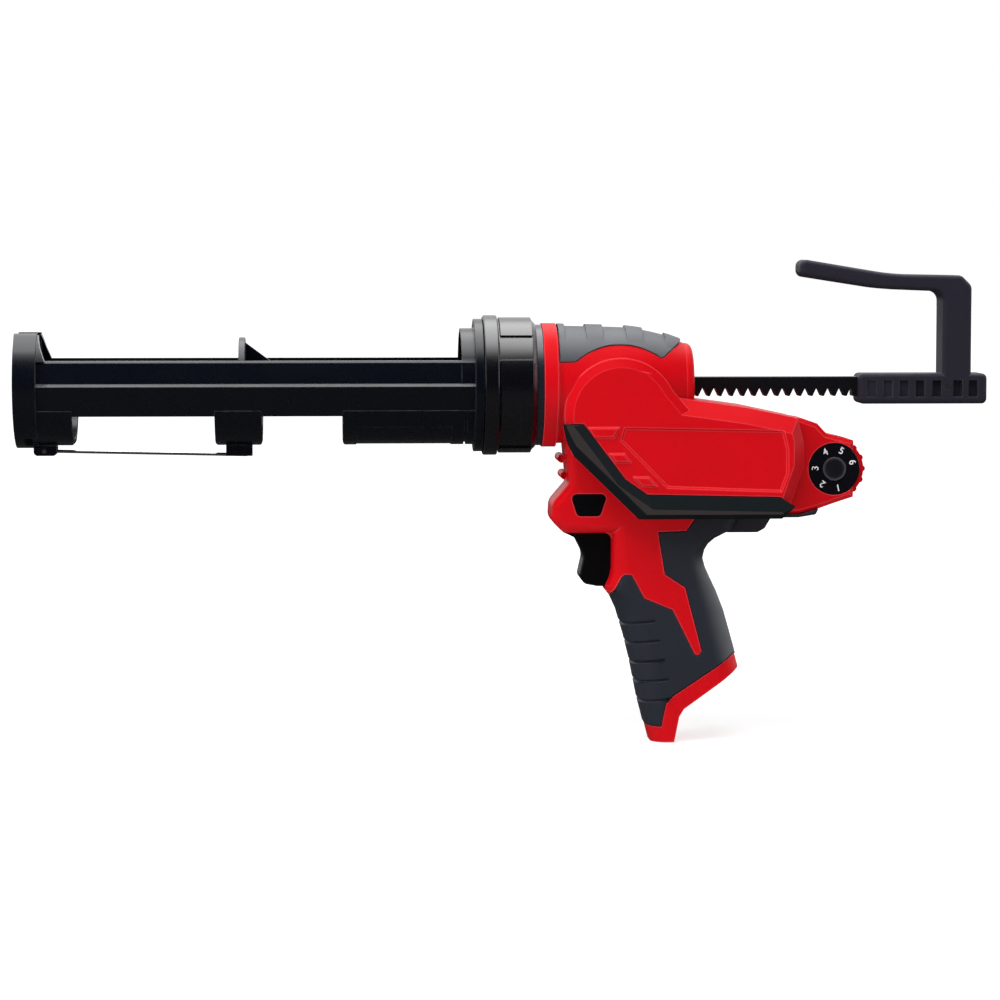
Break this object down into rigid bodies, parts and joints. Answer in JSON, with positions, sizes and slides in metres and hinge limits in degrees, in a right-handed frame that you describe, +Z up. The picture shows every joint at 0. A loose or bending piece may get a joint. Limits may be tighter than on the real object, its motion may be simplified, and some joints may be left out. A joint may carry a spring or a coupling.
{
  "type": "cordless caulking tool",
  "caption": "Cordless caulking tool with an open cartridge carriage, lock ring, geared toothed push rod with a pull handle, trigger grip and speed dial.",
  "frame": {"origin": "on the barrel axis, at the front face of the housing", "axes": "+X along the push rod from the nozzle end to the pull handle, +Y the tool's right-hand side, +Z up"},
  "size_m": [0.4629, 0.0668, 0.2306],
  "materials": {
    "housing_red": "moulded nylon, fine texture",
    "rubber_black": "soft overmould",
    "carriage_black": "moulded glass-filled nylon",
    "ring_black": "moulded nylon",
    "handle_black": "moulded nylon",
    "trigger_black": "moulded nylon",
    "dial_red": "moulded nylon",
    "dial_black": "printed plastic",
    "rod_steel": "blackened steel",
    "small_steel": "plated steel",
    "sleeve_grey": "turned aluminium",
    "gear_steel": "sintered steel",
    "frame_steel": "pressed steel",
    "bush_brass": "plain bearing and contact brass",
    "inner_plastic": "moulded plastic",
    "board_green": "coated circuit board"
  },
  "bodies": {
    "body": {"contact_blades": "bush_brass", "contact_block": "inner_plastic", "control_board": "board_green", "dial_pot": "inner_plastic", "frame_spacers": "frame_steel", "gear_plate_left": "frame_steel", "gear_plate_right": "frame_steel", "gearbox_case": "frame_steel", "grip_rubber_left": "rubber_black", "grip_rubber_right": "rubber_black", "housing_left": "housing_red", "housing_right": "housing_red", "housing_screws": "small_steel", "lay_bushes": "bush_brass", "motor_can": "frame_steel", "motor_endcap": "inner_plastic", "motor_magnets": "frame_steel", "nose_sleeve": "sleeve_grey", "output_bushes": "bush_brass", "rack_support": "frame_steel", "rod_guide_front": "inner_plastic", "rod_guide_rear": "inner_plastic", "side_bumper_left": "rubber_black", "side_bumper_right": "rubber_black", "switch_leads": "inner_plastic", "top_pad": "rubber_black", "trigger_spring": "small_steel", "trigger_switch": "inner_plastic", "web_pad": "rubber_black"},
    "carriage": {"carriage_frame": "carriage_black", "wire_bracket": "carriage_black", "wire_pin": "small_steel"},
    "pierce_wire": {"pierce_wire": "small_steel"},
    "lock_ring": {"lock_ring": "ring_black"},
    "push_rod": {"rack_rod": "rod_steel", "plunger": "handle_black", "plunger_screw": "small_steel", "pull_handle": "handle_black", "handle_pin": "small_steel"},
    "output_set": {"output_shaft": "gear_steel", "rack_pinion": "gear_steel", "output_gear": "gear_steel"},
    "lay_set": {"lay_shaft": "gear_steel", "lay_pinion": "gear_steel", "bevel_gear": "gear_steel"},
    "bevel_set": {"bevel_shaft": "gear_steel", "bevel_pinion": "gear_steel"},
    "rotor": {"armature": "gear_steel", "sun_gear": "gear_steel"},
    "carrier": {"planet_carrier": "gear_steel", "clutch_rollers": "gear_steel"},
    "planet_1": {"planet_gear_1": "gear_steel"},
    "planet_2": {"planet_gear_2": "gear_steel"},
    "planet_3": {"planet_gear_3": "gear_steel"},
    "trigger": {"trigger": "trigger_black"},
    "lock_button": {"lock_button": "trigger_black"},
    "dial": {"dial_wheel": "dial_red", "dial_face": "dial_black"}
  },
  "joints": [
    {"name": "carriage_swivel", "type": "hinge", "parent": "body", "child": "carriage", "pos_m": [0, 0, 0], "axis": [1, 0, 0], "continuous": true},
    {"name": "pierce_wire_swing", "type": "hinge", "parent": "carriage", "child": "pierce_wire", "pos_m": [-0.2384, 0, -0.031], "axis": [0, 1, 0], "range_deg": [0, 170]},
    {"name": "lock_ring_turn", "type": "hinge", "parent": "body", "child": "lock_ring", "pos_m": [0, 0, 0], "axis": [1, 0, 0], "range_deg": [0, 60]},
    {"name": "rack_slide", "type": "slide", "parent": "body", "child": "push_rod", "axis": [1, 0, 0], "range_m": [-0.06, 0.122]},
    {"name": "output_spin", "type": "hinge", "parent": "body", "child": "output_set", "pos_m": [0.0343, 0, -0.01345], "axis": [0, 1, 0], "range_deg": [-359, 728]},
    {"name": "lay_spin", "type": "hinge", "parent": "body", "child": "lay_set", "pos_m": [0.0445, 0, -0.03845], "axis": [0, 1, 0], "range_deg": [-2543, 1252]},
    {"name": "bevel_spin", "type": "hinge", "parent": "body", "child": "bevel_set", "pos_m": [0.0445, 0, -0.03845], "axis": [1, 0, 0], "range_deg": [-5085, 2502]},
    {"name": "motor_spin", "type": "hinge", "parent": "body", "child": "rotor", "pos_m": [0.08, 0, -0.03845], "axis": [1, 0, 0], "continuous": true},
    {"name": "carrier_spin", "type": "hinge", "parent": "body", "child": "carrier", "pos_m": [0.066, 0, -0.03845], "axis": [1, 0, 0], "continuous": true},
    {"name": "planet_spin_1", "type": "hinge", "parent": "carrier", "child": "planet_1", "pos_m": [0.07, 0.0075, -0.03845], "axis": [1, 0, 0], "continuous": true},
    {"name": "planet_spin_2", "type": "hinge", "parent": "carrier", "child": "planet_2", "pos_m": [0.07, -0.00375, -0.03195], "axis": [1, 0, 0], "continuous": true},
    {"name": "planet_spin_3", "type": "hinge", "parent": "carrier", "child": "planet_3", "pos_m": [0.07, -0.00375, -0.04494], "axis": [1, 0, 0], "continuous": true},
    {"name": "trigger_pull", "type": "slide", "parent": "body", "child": "trigger", "axis": [1, 0, 0], "range_m": [0, 0.006], "stiffness_N_per_m": 600, "springref_m": -0.005, "deforming": ["trigger_spring"]},
    {"name": "lock_push", "type": "slide", "parent": "body", "child": "lock_button", "axis": [0, -1, 0], "range_m": [0, 0.005]},
    {"name": "dial_turn", "type": "hinge", "parent": "body", "child": "dial", "pos_m": [0.1377, 0, -0.0399], "axis": [0, 1, 0], "range_deg": [-120, 150]}
  ],
  "couplings": [
    {"joint": "output_spin", "follows": "rack_slide", "rad_per_m": 103.9},
    {"joint": "lay_spin", "follows": "rack_slide", "rad_per_m": -363.64},
    {"joint": "bevel_spin", "follows": "rack_slide", "rad_per_m": -727.27},
    {"joint": "carrier_spin", "follows": "motor_spin", "ratio": 0.2},
    {"joint": "planet_spin_1", "follows": "motor_spin", "ratio": -0.53333},
    {"joint": "planet_spin_2", "follows": "motor_spin", "ratio": -0.53333},
    {"joint": "planet_spin_3", "follows": "motor_spin", "ratio": -0.53333}
  ]
}
